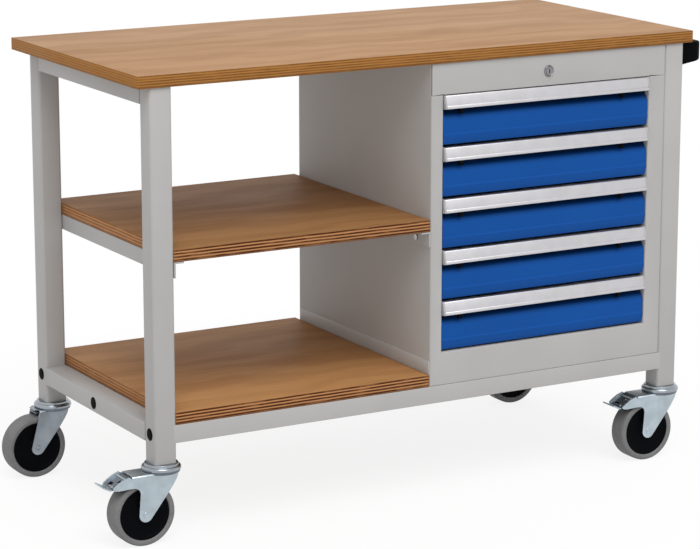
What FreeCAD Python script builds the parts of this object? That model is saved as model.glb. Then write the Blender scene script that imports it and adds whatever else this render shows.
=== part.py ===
import FreeCAD
import Part
import math
import os

# A mobile workshop bench: plywood worktop and shelves on a welded tube frame, with a drawer cabinet on
# the right, a push handle on the right end and four swivel castors, the front two with brakes.
# Sizes are in millimetres. X runs along the bench, Y from front to back and Z up from the floor.
# The pieces are drawn from the frame's front left corner on the floor, and save() then moves them so that
# the origin lies on the floor under the middle of the bench's bounding box.

# Worktop and shelves
BENCH_HEIGHT = 890.0
BOARD = 24.0
TOP_LENGTH = 1235.0
TOP_DEPTH = 585.0
LEFT_OVERHANG = 25.0
FRONT_OVERHANG = 4.0
MIDDLE_SHELF_TOP = 562.0
SHELF_GAP = 1.0

# Tube frame
FRAME_LENGTH = 1191.0
FRAME_DEPTH = 552.0
LEG = 45.0
RAIL_HEIGHT = 35.0
TUBE_WALL = 2.0
TUBE_CORNER = 3.0
LEG_BOTTOM = 154.0
LEG_PLUG = 26.0
RAIL_BOTTOM = 192.0
END_PLATE = 6.0

# Fits, and how far a cutting shape runs past the face that it cuts
FIT = 0.05
RUN_GAP = 0.3
OVER = 1.0

# Fasteners
BOLT_RADIUS = 4.0
BOLT_HEAD = (6.5, 8.0)
BOLT_GRIP = 14.0
CAP_RADIUS = 12.0
CAP_FLANGE = 2.0
CAP_ROUND = 1.4
CAP_SPIGOT = (11.0, 8.0)
SCREW_RADIUS = 3.0
SCREW_HEAD = (5.5, 3.0)
WOOD_SCREW_RADIUS = 2.5
WOOD_SCREW_HEAD = (4.5, 3.0)
WOOD_SCREW_BITE = 16.0

# Angles that carry the middle shelf
ANGLE_HEIGHT = 30.0
ANGLE_WIDTH = 20.0
ANGLE_THICK = 3.0
ANGLE_SCREW_DROP = 18.0
SHELF_SCREW_INSET = (12.0, 48.0)

# Push handle
HANDLE_REACH = 53.0
HANDLE_BAR = 15.0
HANDLE_ARM = 30.0
HANDLE_HEIGHT = 38.0
HANDLE_ROOT = 46.0
HANDLE_DROP = 1.0
HANDLE_CORNER = 18.0
HANDLE_EDGE = 3.0

# Drawer cabinet
CABINET_LEFT = 597.0
CABINET_DEPTH = 533.0
SHEET = 1.5
LEFT_POST = 27.0
RIGHT_POST = 39.0
POST_DEPTH = 25.0
HEADER_HEIGHT = 62.0
PLINTH_HEIGHT = 66.5
FOLD = 20.0

# Drawers
DRAWER_COUNT = 5
DRAWER_GAP = 2.0
SIDE_GAP = 1.5
TRAY_FRONT = 20.0
TRAY_BACK = 500.0
TRAY_INSET = 13.0
TRAY_FLOOR = 6.0
TRAY_HEIGHT = 70.0
GRIP_HEIGHT = 26.0
GRIP_SLOPE = 7.0
GRIP_TOP = -1.0
GRIP_WALL = 2.0
GRIP_LIP = 5.0
GRIP_LIP_DROP = 1.0
END_CAP = 10.0
END_CAP_BACK = 8.0
FRONT_FACE = 2.0
FRONT_RECESS = 17.0
RECESS_DROP = 30.0
SHOULDER_DROP = 46.0
CREASE_DROP = 78.0
HEM_DROP = 98.5
HEM_TUCK = 3.5

# Telescopic runners
RUNNER_START = 26.0
RUNNER_WALL = 1.5
RUNNER_LIP = 6.0
RUNNER_RISE = 42.0
SLIDE_GAP = 0.4
TELESCOPE = (7.2, 26.0, 460.0)
DRAWER_RAIL = (5.0, 16.0, 470.0)

# Lock
LOCK_HEIGHT = 833.0
LOCK_FLANGE = (12.0, 3.0)
LOCK_BODY = (10.0, 22.0)
PLUG_RADIUS = 8.0
KEYWAY = (2.0, 9.0, 3.0)
SPINDLE_RADIUS = 3.0
CRANK_THROW = 8.0
CRANK_THICK = 4.0
CRANK_GAP = 2.0
CRANK_PIN = (2.0, 7.0)
BAR_FRONT = 518.0
BAR_THICK = 3.0
BAR_WIDTH = 36.0
BAR_SLOT = (15.0, 4.3, 2.4)
HOOK_WIDTH = 16.0
HOOK_REACH = 13.0
HOOK_DROP = 8.0
HOOK_GAP = 1.0
TAB_LENGTH = 14.0
TAB_WIDTH = 24.0
TAB_RISE = 60.0
TAB_LIP = 10.0

# Guides of the locking bar on the cabinet's back
GUIDE_GAP = 1.0
GUIDE_LAP = 2.0
GUIDE_HEIGHTS = (413.5, 764.0)

# Castors
WHEEL_RADIUS = 62.5
TYRE_WIDTH = 41.0
TYRE_SHOULDER = 5.0
HUB_RADIUS = 50.5
HUB_WIDTH = 38.0
HUB_BOSS = 12.0
HUB_DISH = (17.0, 45.0, 2.5)
TRAIL = 44.0
AXLE_RADIUS = 5.0
AXLE_HEAD = (7.5, 2.5)
FORK_INSIDE = 43.0
CHEEK = 3.5
FORK_TOP = 140.3
FORK_WEB = 4.0
FORK_END = 14.0
FORK_LIP = (2.0, 26.0)
RACE_ROUND = 2.0
RACE_DOME = 9.0
RACE_RADIUS = 38.0
LOWER_RACE_RADIUS = 36.0
RACE_GAP = 0.5
RACE_SKIRT = 1.0
LOWER_RACE = 7.2
KINGPIN_RADIUS = 6.0
KINGPIN_HEAD = (9.0, 4.0)

# The fork's rounded right side, its arms and the brake pedal in them, measured from the wheel's axle
FORK_SIDE = ((50, 41), (59, 54), (65, 64), (68, 72))
ARM_TOP_END = -33.0
ARM_LOWER = ((-66, 60), (-63.5, 55.5), (-55, 54), (-34, 55), (-20, 54.5), (-12, 51), (-8.5, 44))
ARM_SPLIT = -27.0
PEDAL_WIDTH = 41.0
PEDAL_THICK = 3.0
PEDAL_PIVOT = (-40.0, 68.0)
PEDAL_PIN_RADIUS = 3.0
PEDAL_TOE = -84.0
PEDAL_PATH = ((-31, 77), (-66, 58.5), (-70, 58), (PEDAL_TOE, 65))
PEDAL_SLOT_X = (-64.0, -56.0)
PEDAL_SLOT_WIDTH = 18.0
SHOE_X = (-54.0, -45.0)
SHOE_FOOT = 49.0
SHOE_WIDTH = 28.0

# Places that follow from the sizes above
TOP_UNDERSIDE = BENCH_HEIGHT - BOARD
TOP_FRONT = -FRONT_OVERHANG
RAIL_TOP = RAIL_BOTTOM + RAIL_HEIGHT
RAIL_MIDDLE = RAIL_BOTTOM + RAIL_HEIGHT / 2
REAR_LEG = FRAME_DEPTH - LEG
RIGHT_LEG = FRAME_LENGTH - LEG
BEAM_LINES = (LEG / 2, FRAME_DEPTH / 2, FRAME_DEPTH - LEG / 2)
SHELF_LEFT = LEG + SHELF_GAP
SHELF_RIGHT = CABINET_LEFT - SHELF_GAP
MIDDLE_SHELF_BOTTOM = MIDDLE_SHELF_TOP - BOARD
OPENING_LEFT = CABINET_LEFT + LEFT_POST
OPENING_RIGHT = RIGHT_LEG - RIGHT_POST
OPENING_TOP = TOP_UNDERSIDE - HEADER_HEIGHT
OPENING_BOTTOM = RAIL_TOP + PLINTH_HEIGHT
DRAWER_PITCH = (OPENING_TOP - OPENING_BOTTOM) / DRAWER_COUNT
LOCK_X = (OPENING_LEFT + OPENING_RIGHT) / 2
HANDLE_RIGHT = FRAME_LENGTH + HANDLE_REACH
BRAKE_LEFT = LEG / 2 - TRAIL + PEDAL_TOE
RACE_FRONT = LEG / 2 - RACE_RADIUS
TOP_BACK = TOP_FRONT + TOP_DEPTH
ORIGIN = FreeCAD.Vector((BRAKE_LEFT + HANDLE_RIGHT) / 2, (RACE_FRONT + TOP_BACK) / 2, 0)

X_AXIS = (1, 0, 0)
Y_AXIS = (0, 1, 0)
Z_AXIS = (0, 0, 1)


# Shape helpers

def box(x_range, y_range, z_range):
    """A block between two values on each axis."""
    low = FreeCAD.Vector(min(x_range), min(y_range), min(z_range))
    high = FreeCAD.Vector(max(x_range), max(y_range), max(z_range))
    size = high - low
    return Part.makeBox(size.x, size.y, size.z, low)


def rod(radius, start, direction, length):
    """A cylinder from a start point along a direction."""
    return Part.makeCylinder(radius, length, FreeCAD.Vector(*start), FreeCAD.Vector(*direction))


def place(axis, along, pair):
    """A point from its value along an axis and its pair of values across that axis."""
    values = list(pair)
    values.insert(axis.index(1), along)
    return FreeCAD.Vector(*values)


def prism(outline, axis, start, end):
    """A closed outline, given across an axis, drawn out along the axis."""
    points = [place(axis, start, pair) for pair in outline]
    face = Part.Face(Part.makePolygon(points + points[:1]))
    return face.extrude(FreeCAD.Vector(*axis) * (end - start))


def sheet_outline(path, thick):
    """The outline of a bent sheet whose outer face follows a path, with its thickness to the path's left."""
    normals = []
    for (u0, v0), (u1, v1) in zip(path, path[1:]):
        length = math.hypot(u1 - u0, v1 - v0)
        normals.append(((v0 - v1) / length, (u1 - u0) / length))
    inner = []
    for index, (u, v) in enumerate(path):
        before = normals[max(index - 1, 0)]
        after = normals[min(index, len(normals) - 1)]
        mitre = thick / (1 + before[0] * after[0] + before[1] * after[1])
        inner.append((u + mitre * (before[0] + after[0]), v + mitre * (before[1] + after[1])))
    return list(path) + inner[::-1]


def bent_sheet(path, thick, axis, start, end):
    """A bent sheet drawn out along an axis."""
    return prism(sheet_outline(path, thick), axis, start, end)


def edges_along(shape, axis):
    """The straight edges of a shape that run along an axis."""
    direction = FreeCAD.Vector(*axis)
    return [edge for edge in shape.Edges
            if isinstance(edge.Curve, Part.Line) and abs(edge.Curve.Direction.dot(direction)) > 0.999]


def level_edges(shape):
    """The edges of a shape that lie at one height."""
    return [edge for edge in shape.Edges if edge.BoundBox.ZLength < RUN_GAP]


def tube(x_range, y_range, z_range, axis):
    """A square tube with rounded corners along an axis."""
    outer = box(x_range, y_range, z_range)
    outer = outer.makeFillet(TUBE_CORNER, edges_along(outer, axis))
    ranges = []
    for values, on_axis in zip((x_range, y_range, z_range), axis):
        wall = 0 if on_axis else TUBE_WALL
        ranges.append((min(values) + wall, max(values) - wall))
    return outer.cut(box(*ranges))


def fused(first, *others):
    """Several solids welded into one."""
    return first.fuse(list(others)).removeSplitter()


def headed(radius, head, start, direction, length):
    """A bolt or screw: a head that ends at the start point and a shank from there along a direction."""
    way = FreeCAD.Vector(*direction)
    seat = FreeCAD.Vector(*start)
    head_radius, head_height = head
    top = rod(head_radius, seat - way * head_height, direction, head_height)
    return fused(top, rod(radius, seat, direction, length))


def save(name, *solids):
    """Move one piece, or a group of like pieces, to the bench's origin and write it."""
    shape = solids[0] if len(solids) == 1 else Part.makeCompound(list(solids))
    shape.translate(-ORIGIN)
    shape.exportStep("parts/" + name + ".step")


# Tube frame

def leg(x, y):
    """A leg tube with a drilled plug in its lower end for the castor's stud."""
    shell = tube((x, x + LEG), (y, y + LEG), (LEG_BOTTOM, TOP_UNDERSIDE), Z_AXIS)
    inside = (TUBE_WALL, LEG - TUBE_WALL)
    plug = box([x + v for v in inside], [y + v for v in inside], (LEG_BOTTOM, LEG_BOTTOM + LEG_PLUG))
    stud_hole = rod(KINGPIN_RADIUS + FIT, (x + LEG / 2, y + LEG / 2, LEG_BOTTOM), Z_AXIS, LEG_PLUG)
    return fused(shell, plug).cut(stud_hole)


def end_frame(outer, inward):
    """Two legs and two cross rails, drilled for the beam bolts, the shelf or handle and the worktop."""
    x_range = (outer, outer + inward * LEG)
    rails = (LEG, REAR_LEG)
    pieces = [
        leg(min(x_range), 0),
        leg(min(x_range), REAR_LEG),
        tube(x_range, rails, (TOP_UNDERSIDE - RAIL_HEIGHT, TOP_UNDERSIDE), Y_AXIS),
        tube(x_range, rails, (RAIL_BOTTOM, RAIL_TOP), Y_AXIS),
    ]
    holes = [rod(CAP_SPIGOT[0] + FIT, (outer, y, RAIL_MIDDLE), (inward, 0, 0), LEG / 2) for y in BEAM_LINES]
    holes += [rod(BOLT_RADIUS + FIT, (outer, y, RAIL_MIDDLE), (inward, 0, 0), LEG) for y in BEAM_LINES]
    holes += [rod(WOOD_SCREW_RADIUS + FIT, (x, y, TOP_UNDERSIDE - RAIL_HEIGHT), Z_AXIS, RAIL_HEIGHT)
              for x, y in rail_screw_places() if min(x_range) < x < max(x_range)]
    if inward > 0:
        holes += [rod(SCREW_RADIUS + FIT, (LEG, y, angle_screw_height()), (-1, 0, 0), TUBE_WALL * 2)
                  for y in leg_lines()]
    else:
        holes += [rod(SCREW_RADIUS + FIT, (FRAME_LENGTH, y, handle_middle()), (-1, 0, 0), TUBE_WALL * 2)
                  for y in leg_lines()]
    drill = Part.makeCompound(holes)
    return [piece.cut(drill) for piece in pieces]


def leg_lines():
    """The front and rear legs' middles."""
    return BEAM_LINES[0], BEAM_LINES[2]


def angle_screw_height():
    """The height of the screws that hold the shelf angles."""
    return MIDDLE_SHELF_BOTTOM - ANGLE_SCREW_DROP


def handle_middle():
    """The height of the push handle's middle."""
    return TOP_UNDERSIDE - HANDLE_DROP - HANDLE_HEIGHT / 2


def rail_screw_places():
    """Where wood screws pass the two top rails into the worktop."""
    ends = (LEG / 2, FRAME_LENGTH - LEG / 2)
    rows = (LEG * 2, FRAME_DEPTH / 2, FRAME_DEPTH - LEG * 2)
    return [(x, y) for x in ends for y in rows]


def cabinet_screw_places():
    """Where wood screws pass the cabinet's top into the worktop."""
    columns = (OPENING_LEFT + LEG, OPENING_RIGHT - LEG)
    rows = (LEG * 2, CABINET_DEPTH - LEG * 2)
    return [(x, y) for x in columns for y in rows]


def beam(y_middle):
    """A long beam between the end frames, with a threaded plate in each end."""
    y_range = (y_middle - LEG / 2, y_middle + LEG / 2)
    shell = tube((LEG, RIGHT_LEG), y_range, (RAIL_BOTTOM, RAIL_TOP), X_AXIS)
    y_inside = (y_range[0] + TUBE_WALL, y_range[1] - TUBE_WALL)
    z_inside = (RAIL_BOTTOM + TUBE_WALL, RAIL_TOP - TUBE_WALL)
    left = box((LEG, LEG + END_PLATE), y_inside, z_inside)
    right = box((RIGHT_LEG - END_PLATE, RIGHT_LEG), y_inside, z_inside)
    thread = rod(BOLT_RADIUS + FIT, (LEG, y_middle, RAIL_MIDDLE), X_AXIS, RIGHT_LEG - LEG)
    return fused(shell, left, right).cut(thread)


def make_frame():
    """The welded end frames, the beams between them, their bolts and the caps over the bolt holes."""
    ends = ((0, 1), (FRAME_LENGTH, -1))
    save("left_end_frame", *end_frame(*ends[0]))
    save("right_end_frame", *end_frame(*ends[1]))
    for name, y in zip(("front_beam", "centre_beam", "rear_beam"), BEAM_LINES):
        save(name, beam(y))
    bolts = []
    caps = []
    for outer, inward in ends:
        for y in BEAM_LINES:
            seat = (outer + inward * (LEG - TUBE_WALL), y, RAIL_MIDDLE)
            bolts.append(headed(BOLT_RADIUS, BOLT_HEAD, seat, (inward, 0, 0), BOLT_GRIP))
            caps.append(bolt_cap(outer, inward, y))
    save("frame_bolts", *bolts)
    save("bolt_caps", *caps)


def bolt_cap(outer, inward, y):
    """A round push-in cap with a softly rounded face."""
    flange = rod(CAP_RADIUS, (outer, y, RAIL_MIDDLE), (-inward, 0, 0), CAP_FLANGE)
    face_edge = [edge for edge in flange.Edges if abs(edge.CenterOfMass.x - outer) > CAP_ROUND]
    flange = flange.makeFillet(CAP_ROUND, face_edge)
    radius, length = CAP_SPIGOT
    return fused(flange, rod(radius, (outer, y, RAIL_MIDDLE), (inward, 0, 0), length))


# Worktop, shelves and their fasteners

def make_boards():
    """The worktop and the two shelves, drilled for their screws."""
    top_x = (-LEFT_OVERHANG, TOP_LENGTH - LEFT_OVERHANG)
    worktop = box(top_x, (TOP_FRONT, TOP_BACK), (TOP_UNDERSIDE, BENCH_HEIGHT))
    top_holes = [rod(WOOD_SCREW_RADIUS + FIT, (x, y, TOP_UNDERSIDE), Z_AXIS, WOOD_SCREW_BITE)
                 for x, y in rail_screw_places() + cabinet_screw_places()]
    save("worktop", worktop.cut(Part.makeCompound(top_holes)))
    shelf = box((SHELF_LEFT, SHELF_RIGHT), (0, FRAME_DEPTH), (MIDDLE_SHELF_BOTTOM, MIDDLE_SHELF_TOP))
    shelf_holes = [rod(WOOD_SCREW_RADIUS + FIT, (x, y, MIDDLE_SHELF_BOTTOM), Z_AXIS, WOOD_SCREW_BITE)
                   for x, y in shelf_screw_places()]
    save("middle_shelf", shelf.cut(Part.makeCompound(shelf_holes)))
    save("lower_shelf", box((SHELF_LEFT, SHELF_RIGHT), (0, FRAME_DEPTH), (RAIL_TOP, RAIL_TOP + BOARD)))


def shelf_screw_places():
    """Where wood screws pass the angles into the middle shelf."""
    across, along = SHELF_SCREW_INSET
    return [(x, y) for x in (LEG + across, CABINET_LEFT - across) for y in (along, FRAME_DEPTH - along)]


def shelf_angle(wall, away):
    """An angle under the middle shelf, upright leaf against a wall and flat leaf reaching away from it."""
    flat_z = MIDDLE_SHELF_BOTTOM - ANGLE_THICK
    upright = box((wall, wall + away * ANGLE_THICK), (0, FRAME_DEPTH),
                  (MIDDLE_SHELF_BOTTOM - ANGLE_HEIGHT, MIDDLE_SHELF_BOTTOM))
    flat = box((wall, wall + away * ANGLE_WIDTH), (0, FRAME_DEPTH), (flat_z, MIDDLE_SHELF_BOTTOM))
    holes = [rod(WOOD_SCREW_RADIUS + FIT, (x, y, flat_z), Z_AXIS, ANGLE_THICK)
             for x, y in shelf_screw_places()]
    holes += [rod(SCREW_RADIUS + FIT, (wall, y, angle_screw_height()), (away, 0, 0), ANGLE_THICK)
              for y in angle_screw_lines(away)]
    return fused(upright, flat).cut(Part.makeCompound(holes))


def angle_screw_lines(away):
    """Where the angle's screws stand: on the legs' middles, or clear of the cabinet's post."""
    return leg_lines() if away > 0 else (POST_DEPTH + LEG / 2, CABINET_DEPTH - LEG)


def make_fasteners():
    """The shelf angles, and the wood and machine screws that hold boards, angles and push handle."""
    save("left_shelf_angle", shelf_angle(LEG, 1))
    save("right_shelf_angle", shelf_angle(CABINET_LEFT, -1))
    wood = [headed(WOOD_SCREW_RADIUS, WOOD_SCREW_HEAD, (x, y, TOP_UNDERSIDE - RAIL_HEIGHT), Z_AXIS,
                   RAIL_HEIGHT + WOOD_SCREW_BITE) for x, y in rail_screw_places()]
    wood += [headed(WOOD_SCREW_RADIUS, WOOD_SCREW_HEAD, (x, y, TOP_UNDERSIDE - SHEET), Z_AXIS,
                    SHEET + WOOD_SCREW_BITE) for x, y in cabinet_screw_places()]
    wood += [headed(WOOD_SCREW_RADIUS, WOOD_SCREW_HEAD, (x, y, MIDDLE_SHELF_BOTTOM - ANGLE_THICK), Z_AXIS,
                    ANGLE_THICK + WOOD_SCREW_BITE) for x, y in shelf_screw_places()]
    save("wood_screws", *wood)
    machine = []
    for wall, away, grip in ((LEG, 1, TUBE_WALL * 2), (CABINET_LEFT, -1, SHEET * 2)):
        for y in angle_screw_lines(away):
            seat = (wall + away * ANGLE_THICK, y, angle_screw_height())
            machine.append(headed(SCREW_RADIUS, SCREW_HEAD, seat, (-away, 0, 0), ANGLE_THICK + grip))
    for y in leg_lines():
        seat = (FRAME_LENGTH - TUBE_WALL, y, handle_middle())
        machine.append(headed(SCREW_RADIUS, SCREW_HEAD, seat, X_AXIS, TUBE_WALL + HANDLE_BAR))
    save("machine_screws", *machine)


def make_handle():
    """A flat bow across the right end, tallest at the two right legs, with rounded corners."""
    top = TOP_UNDERSIDE - HANDLE_DROP
    front = LEG / 2 - HANDLE_BAR
    back = FRAME_DEPTH - front
    side = [(FRAME_LENGTH, top), (HANDLE_RIGHT, top), (HANDLE_RIGHT, top - HANDLE_HEIGHT),
            (FRAME_LENGTH, top - HANDLE_ROOT)]
    outer = prism(side, Y_AXIS, front, back)
    corners = [edge for edge in edges_along(outer, Z_AXIS) if edge.CenterOfMass.x > FRAME_LENGTH + OVER]
    outer = outer.makeFillet(HANDLE_CORNER, corners)
    gap_y = (front + HANDLE_ARM, back - HANDLE_ARM)
    bow = outer.cut(box((FRAME_LENGTH - OVER, HANDLE_RIGHT - HANDLE_BAR), gap_y, (top - HANDLE_ROOT, top)))
    uprights = edges_along(bow, Z_AXIS)
    rims = [edge for edge in bow.Edges if edge.CenterOfMass.x > FRAME_LENGTH + OVER
            and not any(edge.isSame(upright) for upright in uprights)]
    bow = bow.makeFillet(HANDLE_EDGE, rims)
    holes = [rod(SCREW_RADIUS + FIT, (FRAME_LENGTH, y, handle_middle()), X_AXIS, HANDLE_BAR)
             for y in leg_lines()]
    save("push_handle", bow.cut(Part.makeCompound(holes)))


# Drawer cabinet

def side_panel(path, flat_x):
    """A side sheet whose front edge is folded into a post, with the flat part reaching up past the header."""
    folded = bent_sheet(path, SHEET, Z_AXIS, RAIL_TOP, OPENING_TOP)
    flat = box(flat_x, (SHEET, CABINET_DEPTH), (OPENING_TOP, TOP_UNDERSIDE - SHEET))
    return fused(folded, flat)


def make_cabinet():
    """The folded sheet panels of the cabinet."""
    left_path = [(CABINET_LEFT, CABINET_DEPTH), (CABINET_LEFT, 0),
                 (OPENING_LEFT, 0), (OPENING_LEFT, POST_DEPTH)]
    right_path = [(OPENING_RIGHT, POST_DEPTH), (OPENING_RIGHT, 0),
                  (RIGHT_LEG, 0), (RIGHT_LEG, CABINET_DEPTH)]
    screw_holes = [rod(SCREW_RADIUS + FIT, (CABINET_LEFT, y, angle_screw_height()), X_AXIS, SHEET)
                   for y in angle_screw_lines(-1)]
    left = side_panel(left_path, (CABINET_LEFT, CABINET_LEFT + SHEET))
    save("cabinet_left_panel", left.cut(Part.makeCompound(screw_holes)))
    save("cabinet_right_panel", side_panel(right_path, (RIGHT_LEG - SHEET, RIGHT_LEG)))

    header_path = [(CABINET_DEPTH, TOP_UNDERSIDE), (0, TOP_UNDERSIDE), (0, OPENING_TOP), (FOLD, OPENING_TOP)]
    header = bent_sheet(header_path, SHEET, X_AXIS, CABINET_LEFT, RIGHT_LEG)
    side_slots = [box(x_range, (SHEET, FOLD + OVER), (OPENING_TOP - OVER, OPENING_TOP + SHEET))
                  for x_range in ((CABINET_LEFT, OPENING_LEFT), (OPENING_RIGHT, RIGHT_LEG))]
    holes = [rod(LOCK_BODY[0] + FIT, (LOCK_X, 0, LOCK_HEIGHT), Y_AXIS, SHEET)]
    holes += [rod(WOOD_SCREW_RADIUS + FIT, (x, y, TOP_UNDERSIDE - SHEET), Z_AXIS, SHEET)
              for x, y in cabinet_screw_places()]
    save("cabinet_header", header.cut(Part.makeCompound(side_slots + holes)))

    inside = (CABINET_LEFT + SHEET, RIGHT_LEG - SHEET)
    back_inner = CABINET_DEPTH - SHEET
    plinth_path = [(FOLD, OPENING_BOTTOM), (0, OPENING_BOTTOM), (0, RAIL_TOP), (back_inner, RAIL_TOP)]
    plinth = bent_sheet(plinth_path, SHEET, X_AXIS, OPENING_LEFT, OPENING_RIGHT)
    floor = box(inside, (POST_DEPTH + SHELF_GAP, back_inner), (RAIL_TOP, RAIL_TOP + SHEET))
    save("cabinet_floor", fused(plinth, floor))

    back = box(inside, (back_inner, CABINET_DEPTH), (RAIL_TOP + SHEET, TOP_UNDERSIDE - SHEET))
    half = BAR_WIDTH / 2 + GUIDE_GAP
    guides = [box((LOCK_X + side * half, LOCK_X + side * (half + BAR_THICK)),
                  (BAR_FRONT - GUIDE_LAP, back_inner), (z, z + FOLD))
              for side in (-1, 1) for z in GUIDE_HEIGHTS]
    save("cabinet_back_panel", fused(back, *guides))


def drawer_base(number):
    """The lower edge of a drawer's front, counting drawers from the top."""
    return OPENING_BOTTOM + (DRAWER_COUNT - number) * DRAWER_PITCH + DRAWER_GAP / 2


def drawer_top(number):
    """The upper edge of a drawer's grip."""
    return drawer_base(number) + DRAWER_PITCH - DRAWER_GAP


def runner(wall, web, z_middle):
    """A hollow spacer rail on a cabinet side, with two lips that guide the telescope."""
    toward = 1 if web > wall else -1
    half = TELESCOPE[1] / 2 + SLIDE_GAP
    outer_half = half + RUNNER_WALL
    y_range = (RUNNER_START, TRAY_BACK)
    outer = box((wall, web + toward * RUNNER_LIP), y_range, (z_middle - outer_half, z_middle + outer_half))
    z_inside = (z_middle - half, z_middle + half)
    hollow = box((wall + toward * RUNNER_WALL, web - toward * RUNNER_WALL), y_range, z_inside)
    channel = box((web, web + toward * RUNNER_LIP), y_range, z_inside)
    return outer.cut(hollow).cut(channel)


def make_runners():
    """The fixed runner rails, one pair for each drawer."""
    rails = []
    for number in range(1, DRAWER_COUNT + 1):
        z_middle = drawer_base(number) + RUNNER_RISE
        rails.append(runner(CABINET_LEFT + SHEET, OPENING_LEFT, z_middle))
        rails.append(runner(RIGHT_LEG - SHEET, OPENING_RIGHT, z_middle))
    save("cabinet_runners", *rails)


# Drawers

def sliding_pair(size, offset, z_middle, y_start):
    """A bar on each side of a drawer, set in from the opening's edges."""
    thick, height, length = size
    z_range = (z_middle - height / 2, z_middle + height / 2)
    y_range = (y_start, y_start + length)
    left = box((OPENING_LEFT + offset, OPENING_LEFT + offset + thick), y_range, z_range)
    right = box((OPENING_RIGHT - offset - thick, OPENING_RIGHT - offset), y_range, z_range)
    return left, right


def tray(number):
    """An open sheet tray with a catch tab on its back, and its two drawer rails."""
    base = drawer_base(number)
    x_range = (OPENING_LEFT + TRAY_INSET, OPENING_RIGHT - TRAY_INSET)
    floor_z = base + TRAY_FLOOR
    outer = box(x_range, (TRAY_FRONT, TRAY_BACK), (floor_z, floor_z + TRAY_HEIGHT))
    hollow = box((x_range[0] + SHEET, x_range[1] - SHEET), (TRAY_FRONT + SHEET, TRAY_BACK - SHEET),
                 (floor_z + SHEET, floor_z + TRAY_HEIGHT))
    tab_x = (LOCK_X - TAB_WIDTH / 2, LOCK_X + TAB_WIDTH / 2)
    tab_z = base + TAB_RISE
    shelf = box(tab_x, (TRAY_BACK, TRAY_BACK + TAB_LENGTH), (tab_z, tab_z + SHEET))
    lip = box(tab_x, (TRAY_BACK + TAB_LENGTH - SHEET, TRAY_BACK + TAB_LENGTH), (tab_z, tab_z + TAB_LIP))
    body = fused(outer.cut(hollow), shelf, lip)
    rail_offset = TRAY_INSET - DRAWER_RAIL[0]
    return body, *sliding_pair(DRAWER_RAIL, rail_offset, base + RUNNER_RISE, RUNNER_START)


def front_path(top):
    """The folded front's outer face from its top edge to its hem: finger recess, face and tucked foot."""
    return [
        (FRONT_RECESS, top - GRIP_WALL),
        (FRONT_RECESS, top - RECESS_DROP),
        (FRONT_FACE, top - SHOULDER_DROP),
        (FRONT_FACE, top - CREASE_DROP),
        (FRONT_FACE + HEM_TUCK, top - HEM_DROP),
        (TRAY_FRONT, top - HEM_DROP),
    ]


def drawer_front(number):
    """The folded front sheet with a closed end on each side."""
    path = front_path(drawer_top(number))
    x_range = (OPENING_LEFT + SIDE_GAP, OPENING_RIGHT - SIDE_GAP)
    skin = bent_sheet(path, SHEET, X_AXIS, *x_range)
    side = path + [(TRAY_FRONT, path[0][1])]
    left = prism(side, X_AXIS, x_range[0], x_range[0] + SHEET)
    right = prism(side, X_AXIS, x_range[1] - SHEET, x_range[1])
    return fused(skin, left, right)


def grip(number):
    """The sloped grip strip along the drawer's top and the moulded cap on each of its ends."""
    top = drawer_top(number)
    toe = (GRIP_TOP - GRIP_SLOPE, top - GRIP_HEIGHT)
    path = [(TRAY_FRONT, top), (GRIP_TOP, top), toe, (toe[0] + GRIP_LIP, toe[1] - GRIP_LIP_DROP)]
    x_range = (OPENING_LEFT + SIDE_GAP, OPENING_RIGHT - SIDE_GAP)
    strip = bent_sheet(path, GRIP_WALL, X_AXIS, x_range[0] + END_CAP, x_range[1] - END_CAP)
    cap = [(GRIP_TOP, top), (FRONT_RECESS, top), (FRONT_RECESS, top - END_CAP_BACK), path[-1], toe]
    left = prism(cap, X_AXIS, x_range[0], x_range[0] + END_CAP)
    right = prism(cap, X_AXIS, x_range[1] - END_CAP, x_range[1])
    return strip, left, right


def make_drawers():
    """Each drawer's tray, front, grip and telescopes."""
    for number in range(1, DRAWER_COUNT + 1):
        name = f"drawer_{number}_"
        save(name + "tray", *tray(number))
        save(name + "front", drawer_front(number))
        save(name + "grip", *grip(number))
        z_middle = drawer_base(number) + RUNNER_RISE
        save(name + "telescopes", *sliding_pair(TELESCOPE, SLIDE_GAP, z_middle, RUNNER_START))


# Lock

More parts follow.
